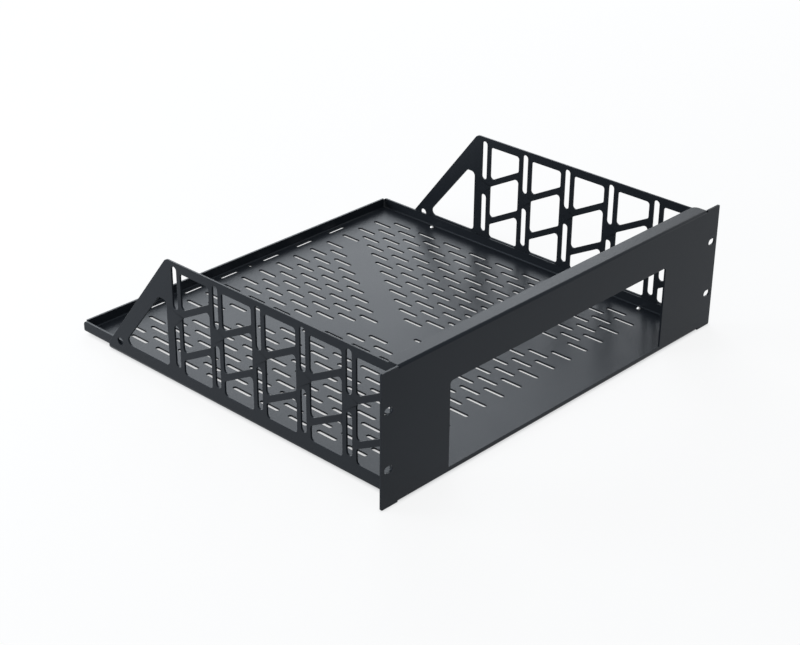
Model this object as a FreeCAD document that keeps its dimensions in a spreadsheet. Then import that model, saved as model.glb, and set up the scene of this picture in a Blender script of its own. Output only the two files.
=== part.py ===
"""Cantilever rack shelf, 3 units high, for a 19-inch equipment rack.

Four sheet-steel pieces and their fasteners: a front panel folded back along its top and bottom,
a vented tray with up-turned sides and rear, and two truss-pierced side brackets.  The tray lies
on the brackets' inward feet and on the panel's bottom lip, and four rivets hold it down on the
feet.  The brackets' front tabs and top edges are welded to the panel.

Frame: +Z up, the panel faces -Y, +X to the right.  The origin is the middle of the footprint, on
the surface that the shelf stands on.  Sketches measure Y back from the panel's front face, and
each sub-part's Placement then brings the middle of the depth to the origin.  Millimetres.
"""
import FreeCAD, Part
import math
import os

import Sketcher

V = FreeCAD.Vector
doc = FreeCAD.newDocument("cantilever_rack_shelf")


# ---------------------------------------------------------------- driving sizes

SIZES = (
    ("panel_width", 482.6, "front panel, ear to ear"),
    ("panel_height", 132.6, "front panel, three rack units less the running gap"),
    ("sheet", 2.0, "thickness of the panel and of the brackets"),
    ("bend", 2.0, "inner radius of the brackets' folds"),
    ("panel_bend", 0.5, "inner radius of the panel's folds"),
    ("ear_corner", 1.5, "radius of the panel's corners"),
    ("rack_slot_inset", 8.75, "middle of a rack slot, in from the panel's end"),
    ("rack_pitch_up", 57.15, "rack slots, lower row to upper row"),
    ("rack_slot_length", 10.3, "rack slot, end to end"),
    ("rack_slot_width", 6.9, "rack slot, across"),
    ("window_side", 64.0, "panel beside the opening, from the bracket's outside"),
    ("sill", 5.8, "height of the opening's lower edge, which hides the tray's front edge"),
    ("header", 40.3, "panel above the opening"),
    ("window_corner", 3.0, "radius of the opening's corners"),
    ("lip_depth", 16.0, "panel's top and bottom lips, from its front face"),
    ("lip_corner", 6.0, "radius of the lips' rear corners"),
    ("relief", 1.0, "width of the notch at each end of a fold"),
    ("ear_width", 21.3, "panel's ear, from the bracket's outside to the panel's end"),
    ("tray_depth", 438.15, "panel's front face to the tray's rear face"),
    ("tray_sheet", 2.0, "thickness of the tray"),
    ("tray_bend", 1.5, "inner radius of the tray's folds"),
    ("tray_rim", 12.7, "height of the tray's up-turned edges"),
    ("tray_gap", 0.1, "between the tray and what stands round it"),
    ("rim_corner", 4.0, "radius of the side rims' rear corners"),
    ("corner_slit", 1.0, "between the rear rim and a side rim"),
    ("vent_length", 25.4, "vent slot, along the depth"),
    ("vent_width", 4.7, "vent slot, across"),
    ("vent_pitch_across", 12.7, "from one column of vents to the next"),
    ("vent_pitch_back", 19.05, "stagger of neighbouring columns"),
    ("vent_first_row", 60.3, "middle of the first row of vents"),
    ("vent_margin", 16.0, "least bare strip between the vents and the tray's rims"),
    ("rear_slot_length", 25.0, "cable-tie slot along the rear edge"),
    ("rear_slot_width", 4.5, "cable-tie slot, across"),
    ("rear_slot_first", 30.5, "first cable-tie slot, from the middle of the tray"),
    ("rear_slot_pitch", 50.3, "from one cable-tie slot to the next"),
    ("rear_slot_inset", 7.6, "cable-tie slots, in from the tray's rear face"),
    ("rear_hole", 5.0, "hole in the middle of the rear edge, across"),
    ("foot_inset", 42.65, "bracket's rear end, in from the tray's rear face"),
    ("foot_width", 20.0, "bracket's inward foot"),
    ("heel_height", 7.7, "upright end of the foot, below the slope"),
    ("slope_length", 96.3, "bracket's sloping rear, measured along the depth"),
    ("top_corner", 8.0, "radius between the top edge and the slope"),
    ("tab_width", 12.0, "bracket's front tab, across"),
    ("tab_clear", 1.5, "front tab's ends, clear of the tray's rim and of the upper bend"),
    ("bay_pitch", 57.15, "from one bay of the truss to the next"),
    ("bay_start", 10.9, "front edge of the first bay's openings"),
    ("post", 17.5, "upright post between two openings, its slot included"),
    ("truss_bottom", 15.6, "lower edge of the truss openings"),
    ("top_rail", 9.1, "bracket's rail above the openings"),
    ("brace_fall", 21.3, "how far a sloping brace falls along one opening"),
    ("upper_brace_drop", 46.4, "from the top rail to the upper brace's low end"),
    ("brace_foot", 30.3, "underside of the lower brace at its low end"),
    ("brace_height", 7.5, "a brace, measured upright"),
    ("opening_corner", 2.2, "cut across each corner of the truss openings"),
    ("post_slot_width", 7.0, "slot that splits each post in two"),
    ("post_slot_clip", 2.0, "cut across each corner of the post slots"),
    ("post_slot_length", 44.1, "post slot, end to end"),
    ("low_slot_bottom", 20.0, "low end of the lower post slot"),
    ("high_slot_drop", 4.7, "upper post slot, below the bracket's top edge"),
    ("gusset_gap", 4.75, "from the last post to the rear three-cornered opening"),
    ("gusset_bottom", 16.5, "bottom of the rear opening"),
    ("gusset_drop", 44.1, "top of the rear opening, below the bracket's top edge"),
    ("gusset_crest", 13.0, "rear opening's top corner, behind the slope's upper end"),
    ("gusset_heel", 26.0, "rear opening's low corner, in from the foot's rear end"),
    ("gusset_corner", 5.0, "radius of the rear opening's corners"),
    ("foot_hole", 8.0, "hole above the heel, across"),
    ("foot_hole_inset", 18.5, "hole above the heel, in from the foot's rear end"),
    ("foot_hole_height", 15.0, "hole above the heel, from the bottom"),
    ("rivet_shank", 3.2, "rivet's shank, across"),
    ("rivet_head", 5.0, "rivet's tapered head, across"),
    ("rivet_dome", 2.0, "height of the rivet's head"),
    ("rivet_clear", 0.1, "rivet's head, clear of the tray's fold"),
    ("rivet_front", 66.7, "front rivets, from the panel's front face"),
    ("rivet_rear", 37.8, "rear rivets, in from the foot's rear end"),
)
BARE_ROW = 8            # row where the two bare bands of the tray cross
BARE_FRONT = 7          # columns that a bare band crosses towards the front
BARE_REAR = 9           # columns that a bare band crosses towards the rear
REAR_SLOTS = 3          # cable-tie slots on each side of the middle
OVERCUT = 1.0           # how far a cutting shape passes the face that it cuts through
SAME_PLACE = 1e-4       # two points nearer than this are one
SAME_WAY = 1e-6         # two unit directions whose cross product is shorter than this are one

sheet = doc.addObject("Spreadsheet::Sheet", "dims")
for row, (name, value, meaning) in enumerate(SIZES, start=1):
    sheet.set("A%d" % row, meaning)
    sheet.set("B%d" % row, str(value))
    sheet.setAlias("B%d" % row, name)
doc.recompute()


def size(text):
    """The value of an expression on the sheet's sizes, such as 'dims.sheet + dims.bend'."""
    value = sheet.evalExpression(text)
    return float(getattr(value, "Value", value))


# ---------------------------------------------------------------- sketch and feature helpers

def new_body(name):
    """A body whose own origin is the panel's front face; its placement centres the depth."""
    body = doc.addObject("PartDesign::Body", name)
    body.Label = name
    body.setExpression("Placement.Base.y", "-dims.tray_depth / 2")
    return body


def new_sketch(body, name, role, offset="0"):
    """A sketch on one of the body's own origin planes, moved along that plane's normal."""
    sketch = body.newObject("Sketcher::SketchObject", name)
    plane = next(item for item in body.Origin.OriginFeatures if item.Role == role)
    sketch.AttachmentSupport = [(plane, "")]
    sketch.MapMode = "FlatFace"
    sketch.setExpression("AttachmentOffset.Base.z", offset)
    return sketch


def pin(sketch, geometry, point, across, up):
    """Hold one point of the sketch at two sizes of the sheet."""
    for kind, text in (("DistanceX", across), ("DistanceY", up)):
        rule = Sketcher.Constraint(kind, -1, 1, geometry, point, size(text))
        index = sketch.addConstraint(rule)
        sketch.setExpression("Constraints[%d]" % index, text)


def outline(sketch, corners):
    """A closed outline of straight edges; each corner is a pair of sizes."""
    spots = [V(size(across), size(up), 0) for across, up in corners]
    first = sketch.GeometryCount
    for start, end in zip(spots, spots[1:] + spots[:1]):
        sketch.addGeometry(Part.LineSegment(start, end))
    for step, (across, up) in enumerate(corners):
        following = first + (step + 1) % len(corners)
        sketch.addConstraint(Sketcher.Constraint("Coincident", first + step, 2, following, 1))
        pin(sketch, first + step, 1, across, up)


def rectangle(sketch, left, right, low, high):
    """An upright rectangle between four sizes."""
    outline(sketch, [(left, low), (right, low), (right, high), (left, high)])


def obround(sketch, start, end, radius):
    """A round-ended slot between the centres of its two ends."""
    a = V(size(start[0]), size(start[1]), 0)
    b = V(size(end[0]), size(end[1]), 0)
    along = (b - a).normalize()
    side = V(-along.y, along.x, 0) * size(radius)
    angle = math.atan2(side.y, side.x)
    axis = V(0, 0, 1)
    first = sketch.GeometryCount
    round_a = Part.Circle(a, axis, size(radius))
    round_b = Part.Circle(b, axis, size(radius))
    sketch.addGeometry(Part.ArcOfCircle(round_a, angle, angle + math.pi))
    sketch.addGeometry(Part.LineSegment(a - side, b - side))
    sketch.addGeometry(Part.ArcOfCircle(round_b, angle + math.pi, angle + 2 * math.pi))
    sketch.addGeometry(Part.LineSegment(b + side, a + side))
    for number in range(4):
        following = first + (number + 1) % 4
        sketch.addConstraint(Sketcher.Constraint("Tangent", first + number, 2, following, 1))
    index = sketch.addConstraint(Sketcher.Constraint("Radius", first, size(radius)))
    sketch.setExpression("Constraints[%d]" % index, radius)
    pin(sketch, first, 3, *start)
    pin(sketch, first + 2, 3, *end)


def clipped_slot(sketch, left, right, low, high, clip):
    """An upright slot whose four corners are cut across."""
    inner_left, inner_right = "%s + %s" % (left, clip), "%s - %s" % (right, clip)
    inner_low, inner_high = "%s + %s" % (low, clip), "%s - %s" % (high, clip)
    outline(sketch, [(inner_left, low), (inner_right, low), (right, inner_low),
                     (right, inner_high), (inner_right, high), (inner_left, high),
                     (left, inner_high), (left, inner_low)])


def circle(sketch, across, up, radius):
    """A round hole."""
    centre = V(size(across), size(up), 0)
    index = sketch.addGeometry(Part.Circle(centre, V(0, 0, 1), size(radius)))
    pin(sketch, index, 3, across, up)
    rule = sketch.addConstraint(Sketcher.Constraint("Radius", index, size(radius)))
    sketch.setExpression("Constraints[%d]" % rule, radius)


def runs_negative(sketch):
    """True where a sketch's normal points along its negative axis, as on the XZ plane."""
    return sketch.AttachmentSupport[0][0].Role == "XZ_Plane"


def pad(body, sketch, name, length, midplane=False):
    """Give a sketch its thickness, toward +X, +Y or +Z."""
    feature = body.newObject("PartDesign::Pad", name)
    feature.Profile = sketch
    feature.Reversed = runs_negative(sketch)
    feature.Midplane = midplane
    feature.setExpression("Length", length)
    doc.recompute()
    return feature


def pocket(body, sketch, name, length):
    """Cut a sketch through the sheet, toward +X, +Y or +Z, and make sure that it has cut."""
    before = body.Shape.Volume
    feature = body.newObject("PartDesign::Pocket", name)
    feature.Profile = sketch
    feature.Reversed = not runs_negative(sketch)
    feature.setExpression("Length", length)
    doc.recompute()
    if body.Shape.Volume >= before:
        raise RuntimeError("%s cuts nothing" % name)
    return feature


def edges_at(feature, direction, spots):
    """Names of the feature's straight edges that run along a direction through given spots."""
    found = []
    for number, edge in enumerate(feature.Shape.Edges, start=1):
        if edge.Curve.TypeId != "Part::GeomLine" or len(edge.Vertexes) < 2:
            continue
        start, end = (vertex.Point for vertex in edge.Vertexes)
        if (end - start).normalize().cross(direction).Length > SAME_WAY:
            continue
        for spot in spots:
            reach = spot - start
            if (reach - direction * reach.dot(direction)).Length < SAME_PLACE:
                found.append("Edge%d" % number)
                break
    return found


def fillet(body, feature, name, edges, radius):
    """Round a set of edges to one of the sheet's radii."""
    if not edges:
        raise RuntimeError("%s finds no edge" % name)
    rounding = body.newObject("PartDesign::Fillet", name)
    rounding.Base = (feature, edges)
    rounding.setExpression("Radius", radius)
    doc.recompute()
    return rounding


ALONG_X, ALONG_Y, ALONG_Z = V(1, 0, 0), V(0, 1, 0), V(0, 0, 1)
OUTER_BEND = "(dims.bend + dims.sheet)"
PANEL_OUTER_BEND = "(dims.panel_bend + dims.sheet)"
HALF_BODY = "(dims.panel_width / 2 - dims.ear_width)"
TRAY_HALF = "(%s - dims.sheet - dims.tray_gap)" % HALF_BODY
TRAY_INSIDE = "(%s - dims.tray_sheet)" % TRAY_HALF
TRAY_FRONT = "(dims.sheet + dims.panel_bend + dims.tray_gap)"
TRAY_FLOOR = "(dims.sheet + dims.tray_sheet)"
TRAY_TOP = "(dims.sheet + dims.tray_rim)"
TRAY_BEND = "(dims.tray_bend + dims.tray_sheet)"
BRACKET_TOP = "(dims.panel_height - dims.sheet)"
TRUSS_TOP = "(%s - dims.top_rail)" % BRACKET_TOP
FOOT_END = "(dims.tray_depth - dims.foot_inset)"
SLOPE_START = "(%s - dims.slope_length)" % FOOT_END
RIVET_REACH = "(%s - dims.tray_bend - dims.rivet_head / 2 - dims.rivet_clear)" % TRAY_INSIDE
RIVET_ROWS = ("dims.rivet_front", "%s - dims.rivet_rear" % FOOT_END)


# ---------------------------------------------------------------- front panel

def make_front_panel():
    """Rack panel: flat ears, a window with a low sill, and lips folded back above and below."""
    body = new_body("front_panel")
    plate = new_sketch(body, "panel_outline", "XZ_Plane")
    rectangle(plate, "-dims.panel_width / 2", "dims.panel_width / 2", "0", "dims.panel_height")
    pad(body, plate, "panel_plate", "dims.sheet")

    lips = new_sketch(body, "lip_sections", "YZ_Plane")
    rectangle(lips, "dims.sheet / 2", "dims.lip_depth", "0", "dims.sheet")
    rectangle(lips, "dims.sheet / 2", "dims.lip_depth",
              "dims.panel_height - dims.sheet", "dims.panel_height")
    pad(body, lips, "panel_lips", "2 * " + HALF_BODY, midplane=True)

    notches = new_sketch(body, "fold_reliefs", "XZ_Plane")
    notch_end = "(%s + dims.relief)" % HALF_BODY
    for left, right in (("-" + notch_end, "-" + HALF_BODY), (HALF_BODY, notch_end)):
        rectangle(notches, left, right, "-%s" % OVERCUT, PANEL_OUTER_BEND)
        rectangle(notches, left, right, "dims.panel_height - " + PANEL_OUTER_BEND,
                  "dims.panel_height + %s" % OVERCUT)
    feature = pocket(body, notches, "fold_relief_cut", "dims.sheet")

    height, thick = size("dims.panel_height"), size("dims.sheet")
    middle = [edge for edge in edges_at(feature, ALONG_X, [V(0, 0, 0), V(0, 0, height)])
              if feature.Shape.getElement(edge).Length > size(HALF_BODY)]
    feature = fillet(body, feature, "outer_bends", middle, PANEL_OUTER_BEND)
    inner = edges_at(feature, ALONG_X, [V(0, thick, thick), V(0, thick, height - thick)])
    feature = fillet(body, feature, "inner_bends", inner, "dims.panel_bend")

    half = size("dims.panel_width / 2")
    corners = [V(side * half, 0, level) for side in (-1, 1) for level in (0, height)]
    feature = fillet(body, feature, "ear_corners", edges_at(feature, ALONG_Y, corners),
                     "dims.ear_corner")
    reach, side = size("dims.lip_depth"), size(HALF_BODY)
    corners = [V(-side, reach, 0), V(side, reach, 0)]
    feature = fillet(body, feature, "lip_corners", edges_at(feature, ALONG_Z, corners),
                     "dims.lip_corner")

    window = new_sketch(body, "window_outline", "XZ_Plane")
    half_window = "(%s - dims.window_side)" % HALF_BODY
    window_top = "dims.panel_height - dims.header"
    rectangle(window, "-" + half_window, half_window, "dims.sill", window_top)
    feature = pocket(body, window, "window_cut", "dims.sheet")
    corners = [V(side * size(half_window), 0, size(window_top)) for side in (-1, 1)]
    feature = fillet(body, feature, "window_corners", edges_at(feature, ALONG_Y, corners),
                     "dims.window_corner")

    slots = new_sketch(body, "rack_slot_outlines", "XZ_Plane")
    reach = "(dims.rack_slot_length - dims.rack_slot_width) / 2"
    for side in ("-", ""):
        middle = "%s(dims.panel_width / 2 - dims.rack_slot_inset)" % side
        for sign in ("-", "+"):
            level = "dims.panel_height / 2 %s dims.rack_pitch_up / 2" % sign
            obround(slots, ("%s - %s" % (middle, reach), level),
                    ("%s + %s" % (middle, reach), level), "dims.rack_slot_width / 2")
    pocket(body, slots, "rack_slots", "dims.sheet")
    return body


# ---------------------------------------------------------------- rivets

def rivet_spots():
    """Where the four rivets stand, on the surface under the shelf."""
    reach = size(RIVET_REACH)
    return [V(side * reach, size(back), 0) for side in (-1, 1) for back in RIVET_ROWS]


def make_rivet(spot):
    """A shank through foot and tray, flush below, with a low tapered head on the tray."""
    shank, head = size("dims.rivet_shank / 2"), size("dims.rivet_head / 2")
    height, floor = size("dims.rivet_dome"), size(TRAY_FLOOR)
    body = Part.makeCylinder(shank, floor, spot)
    cap = Part.makeCone(head, shank, height, spot + V(0, 0, floor))
    return body.fuse(cap)


def make_rivets():
    """Four identical rivets, which share one node."""
    group = doc.addObject("Part::Feature", "rivets")
    group.Label = "rivets"
    group.Shape = Part.makeCompound([make_rivet(spot) for spot in rivet_spots()])
    group.Placement = FreeCAD.Placement(V(0, -size("dims.tray_depth / 2"), 0),
                                        FreeCAD.Rotation())
    return group


# ---------------------------------------------------------------- tray

def make_tray_blank():
    """The folded tray before its vents are punched: a floor with a rim on three sides."""
    body = new_body("tray_blank")
    section = new_sketch(body, "tray_section", "XZ_Plane", "-" + TRAY_FRONT)
    outline(section, [("-" + TRAY_HALF, "dims.sheet"), (TRAY_HALF, "dims.sheet"),
                      (TRAY_HALF, TRAY_TOP), (TRAY_INSIDE, TRAY_TOP),
                      (TRAY_INSIDE, TRAY_FLOOR), ("-" + TRAY_INSIDE, TRAY_FLOOR),
                      ("-" + TRAY_INSIDE, TRAY_TOP), ("-" + TRAY_HALF, TRAY_TOP)])
    feature = pad(body, section, "tray_channel", "dims.tray_depth - " + TRAY_FRONT)
    side, low, floor = size(TRAY_HALF), size("dims.sheet"), size(TRAY_FLOOR)
    outer = [V(-side, 0, low), V(side, 0, low)]
    feature = fillet(body, feature, "side_outer_bends", edges_at(feature, ALONG_Y, outer),
                     TRAY_BEND)
    wall = side - size("dims.tray_sheet")
    inner = [V(-wall, 0, floor), V(wall, 0, floor)]
    feature = fillet(body, feature, "side_inner_bends", edges_at(feature, ALONG_Y, inner),
                     "dims.tray_bend")

    rear = "dims.tray_depth"
    strip_half = "(%s - dims.corner_slit)" % TRAY_INSIDE
    strip = new_sketch(body, "rear_strip", "XY_Plane", "dims.sheet")
    rectangle(strip, "-" + TRAY_INSIDE, TRAY_INSIDE, "%s - %s" % (rear, TRAY_BEND),
              "%s + %s" % (rear, OVERCUT))
    pocket(body, strip, "rear_strip_cut", "dims.tray_rim")

    rim = new_sketch(body, "rear_rim_section", "YZ_Plane")
    start = "dims.tray_depth - %s - dims.tray_sheet" % TRAY_BEND
    outline(rim, [(start, "dims.sheet"), (rear, "dims.sheet"), (rear, TRAY_TOP),
                  (rear + " - dims.tray_sheet", TRAY_TOP),
                  (rear + " - dims.tray_sheet", TRAY_FLOOR), (start, TRAY_FLOOR)])
    feature = pad(body, rim, "rear_rim", "2 * %s" % strip_half, midplane=True)
    back = size("dims.tray_depth")
    feature = fillet(body, feature, "rear_outer_bend",
                     edges_at(feature, ALONG_X, [V(0, back, low)]), TRAY_BEND)
    back -= size("dims.tray_sheet")
    feature = fillet(body, feature, "rear_inner_bend",
                     edges_at(feature, ALONG_X, [V(0, back, floor)]), "dims.tray_bend")
    top = size(TRAY_TOP)
    corners = [V(0, size("dims.tray_depth"), top)]
    ends = [edge for edge in edges_at(feature, ALONG_X, corners)
            if feature.Shape.getElement(edge).Length < size("dims.tray_sheet") + SAME_PLACE]
    fillet(body, feature, "rim_corners", ends, "dims.rim_corner")
    return body


def punch(across, back, width, length):
    """The punch for one slot in the tray, width along X and length along Y."""
    corner = V(across - width / 2, back - length / 2, 0)
    return Part.makeBox(width, length, size(TRAY_FLOOR) + OVERCUT, corner)


def make_tray_punches():
    """The tray's punches: staggered vents with two crossing bare bands, and the rear row."""
    cuts = []
    pitch_across, pitch_back = size("dims.vent_pitch_across"), size("dims.vent_pitch_back")
    first = size("dims.vent_first_row")
    last = size("dims.tray_depth - dims.tray_sheet - dims.vent_margin - dims.vent_length / 2")
    side = size(TRAY_INSIDE + " - dims.vent_margin - dims.vent_width / 2")
    rows = int((last - first) / pitch_back) + 1
    columns = int(side / pitch_across)
    for row in range(rows):
        back = first + row * pitch_back
        away = row - BARE_ROW
        for column in range(-columns, columns + 1):
            staggered_out = (row + column) % 2 != 0
            bare = abs(column) == abs(away) and -BARE_FRONT <= away <= BARE_REAR
            if staggered_out or bare:
                continue
            cuts.append(punch(column * pitch_across, back,
                              size("dims.vent_width"), size("dims.vent_length")))
    rear = size("dims.tray_depth") - size("dims.rear_slot_inset")
    for number in range(REAR_SLOTS):
        across = size("dims.rear_slot_first") + number * size("dims.rear_slot_pitch")
        for side in (-1, 1):
            cuts.append(punch(side * across, rear, size("dims.rear_slot_length"),
                              size("dims.rear_slot_width")))
    through = size(TRAY_FLOOR) + OVERCUT
    cuts.append(Part.makeCylinder(size("dims.rear_hole / 2"), through, V(0, rear, 0)))
    for spot in rivet_spots():
        cuts.append(Part.makeCylinder(size("dims.rivet_shank / 2"), through, spot))
    punches = doc.addObject("Part::Feature", "tray_punches")
    punches.Shape = Part.makeCompound(cuts)
    punches.Placement = FreeCAD.Placement(V(0, -size("dims.tray_depth / 2"), 0),
                                          FreeCAD.Rotation())
    return punches


def make_tray():
    """The folded blank, punched."""
    tray = doc.addObject("Part::Cut", "tray")
    tray.Label = "tray"
    tray.Base = make_tray_blank()
    tray.Tool = make_tray_punches()
    doc.recompute()
    return tray


# ---------------------------------------------------------------- side brackets

def height_along(start, end, share):
    """The height on a sloping edge, a share of the way from its start to its end."""
    return "%s + (%s - %s) * %s" % (start, end, start, share)


def truss_opening(sketch, near, far, low_near, low_far, high_near, high_far):
    """An opening with upright sides and clipped corners; its lower and upper edges may slope."""
    clip = "dims.opening_corner"
    near_share = "(%s / (%s - %s))" % (clip, far, near)
    far_share = "(1 - %s)" % near_share
    inner_near, inner_far = "%s + %s" % (near, clip), "%s - %s" % (far, clip)
    outline(sketch, [(inner_near, height_along(low_near, low_far, near_share)),
                     (inner_far, height_along(low_near, low_far, far_share)),
                     (far, "%s + %s" % (low_far, clip)),
                     (far, "%s - %s" % (high_far, clip)),
                     (inner_far, height_along(high_near, high_far, far_share)),
                     (inner_near, height_along(high_near, high_far, near_share)),
                     (near, "%s - %s" % (high_near, clip)),
                     (near, "%s + %s" % (low_near, clip))])


def make_bay_cutouts(sketch):
    """One bay of the truss: three openings between two sloping braces, and its post's two slots."""
    near = "dims.bay_start"
    far = "(dims.bay_start + dims.bay_pitch - dims.post)"
    floor, ceiling = "dims.truss_bottom", TRUSS_TOP
    lower, upper = "dims.brace_foot", "(%s - dims.upper_brace_drop)" % TRUSS_TOP
    lower_high, upper_high = ("(%s + dims.brace_fall)" % brace for brace in (lower, upper))
    over_lower, over_upper, over_lower_high, over_upper_high = (
        "(%s + dims.brace_height)" % brace for brace in (lower, upper, lower_high, upper_high))
    truss_opening(sketch, near, far, floor, floor, lower_high, lower)
    truss_opening(sketch, near, far, over_lower_high, over_lower, upper_high, upper)
    truss_opening(sketch, near, far, over_upper_high, over_upper, ceiling, ceiling)

    slot_near = "%s + (dims.post - dims.post_slot_width) / 2" % far
    slot_far = "%s + (dims.post + dims.post_slot_width) / 2" % far
    high_end = "%s - dims.high_slot_drop" % BRACKET_TOP
    for low, high in (("dims.low_slot_bottom", "dims.low_slot_bottom + dims.post_slot_length"),
                      (high_end + " - dims.post_slot_length", high_end)):
        clipped_slot(sketch, slot_near, slot_far, low, high, "dims.post_slot_clip")


def make_right_bracket():
    """Truss-pierced side: an upright web with an inward foot and a front tab."""
    body = new_body("right_bracket")
    inner_face = HALF_BODY + " - dims.sheet"
    web = new_sketch(body, "web_outline", "YZ_Plane", inner_face)
    front, notch = "dims.sheet", "dims.sheet + dims.bend + dims.sheet"
    behind_lip = "dims.lip_depth + dims.tray_gap"
    tab_low = TRAY_TOP + " + dims.tab_clear"
    tab_high = "dims.panel_height - dims.sheet - dims.bend - dims.tab_clear"
    outline(web, [(notch, OUTER_BEND), (behind_lip, OUTER_BEND), (behind_lip, "0"),
                  (FOOT_END, "0"), (FOOT_END, "dims.heel_height"),
                  (SLOPE_START, BRACKET_TOP), (notch, BRACKET_TOP), (notch, tab_high),
                  (front, tab_high), (front, tab_low), (notch, tab_low)])
    pad(body, web, "web", "dims.sheet")

    foot = new_sketch(body, "foot_outline", "XY_Plane")
    rectangle(foot, HALF_BODY + " - dims.foot_width", HALF_BODY + " - dims.sheet / 2",
              behind_lip, FOOT_END)
    pad(body, foot, "foot", "dims.sheet")
    tab = new_sketch(body, "tab_outline", "XZ_Plane", "-dims.sheet")
    rectangle(tab, HALF_BODY + " - dims.tab_width", HALF_BODY + " - dims.sheet / 2",
              tab_low, tab_high)
    feature = pad(body, tab, "front_tab", "dims.sheet")

    side, thick = size(HALF_BODY), size("dims.sheet")
    feature = fillet(body, feature, "foot_outer_bend",
                     edges_at(feature, ALONG_Y, [V(side, 0, 0)]), OUTER_BEND)
    feature = fillet(body, feature, "foot_inner_bend",
                     edges_at(feature, ALONG_Y, [V(side - thick, 0, thick)]), "dims.bend")
    feature = fillet(body, feature, "tab_outer_bend",
                     edges_at(feature, ALONG_Z, [V(side, thick, 0)]), OUTER_BEND)
    feature = fillet(body, feature, "tab_inner_bend",
                     edges_at(feature, ALONG_Z, [V(side - thick, 2 * thick, 0)]), "dims.bend")
    crest = [V(0, size(SLOPE_START), size(BRACKET_TOP))]
    feature = fillet(body, feature, "top_corner", edges_at(feature, ALONG_X, crest),
                     "dims.top_corner")

    bay = new_sketch(body, "bay_outline", "YZ_Plane", inner_face)
    make_bay_cutouts(bay)
    bay_cut = pocket(body, bay, "bay_cut", "dims.sheet")
    pitch = size("dims.bay_pitch")
    bay_count = int((size(SLOPE_START) - size("dims.bay_start")) / pitch)
    bays = body.newObject("PartDesign::LinearPattern", "bays")
    bays.Originals = [bay_cut]
    bays.Direction = (bay, ["H_Axis"])
    bays.Mode = "Spacing"
    bays.setExpression("Offset", "dims.bay_pitch")
    bays.Occurrences = bay_count
    body.Tip = bays
    doc.recompute()

    gusset = new_sketch(body, "gusset_outline", "YZ_Plane", inner_face)
    begin = "dims.bay_start + %d * dims.bay_pitch + dims.gusset_gap" % bay_count
    gusset_top = BRACKET_TOP + " - dims.gusset_drop"
    gusset_corners = [(begin, "dims.gusset_bottom"),
                      (FOOT_END + " - dims.gusset_heel", "dims.gusset_bottom"),
                      (SLOPE_START + " + dims.gusset_crest", gusset_top), (begin, gusset_top)]
    outline(gusset, gusset_corners)
    feature = pocket(body, gusset, "gusset_cut", "dims.sheet")
    spots = [V(0, size(back), size(level)) for back, level in gusset_corners]
    feature = fillet(body, feature, "gusset_corners", edges_at(feature, ALONG_X, spots),
                     "dims.gusset_corner")

    holes = new_sketch(body, "foot_hole_outline", "YZ_Plane", inner_face)
    circle(holes, FOOT_END + " - dims.foot_hole_inset", "dims.foot_hole_height",
           "dims.foot_hole / 2")
    pocket(body, holes, "foot_hole_cut", "dims.sheet")
    rivets = new_sketch(body, "rivet_hole_outlines", "XY_Plane")
    for back in RIVET_ROWS:
        circle(rivets, RIVET_REACH, back, "dims.rivet_shank / 2")
    pocket(body, rivets, "rivet_holes", "dims.sheet")
    return body


def make_left_bracket(right):
    """The right bracket's mirror image."""
    left = doc.addObject("Part::Mirroring", "left_bracket")
    left.Label = "left_bracket"
    left.Source = right
    left.Normal = ALONG_X
    doc.recompute()
    return left


# ---------------------------------------------------------------- build, check and write

front_panel = make_front_panel()
tray = make_tray()
right_bracket = make_right_bracket()
left_bracket = make_left_bracket(right_bracket)
rivets = make_rivets()
doc.recompute()

for item in doc.Objects:
    if "Invalid" in item.State or "Error" in item.State:
        raise RuntimeError("%s did not build: %s" % (item.Name, item.State))

SUB_PARTS = (front_panel, tray, left_bracket, right_bracket, rivets)
os.makedirs("parts", exist_ok=True)
for item in SUB_PARTS:
    if item.Shape.isNull() or not item.Shape.isValid():
        raise RuntimeError("%s has no valid shape" % item.Label)
for item in SUB_PARTS:
    item.Shape.exportStep("parts/%s.step" % item.Label)
    box = item.Shape.BoundBox
    print("%-14s solids %d volume %.0f  x %.2f..%.2f  y %.2f..%.2f  z %.2f..%.2f" % (
        item.Label, len(item.Shape.Solids), item.Shape.Volume,
        box.XMin, box.XMax, box.YMin, box.YMax, box.ZMin, box.ZMax))
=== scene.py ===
"""Looks of a cantilever rack shelf, 3 units high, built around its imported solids."""
import math

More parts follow.
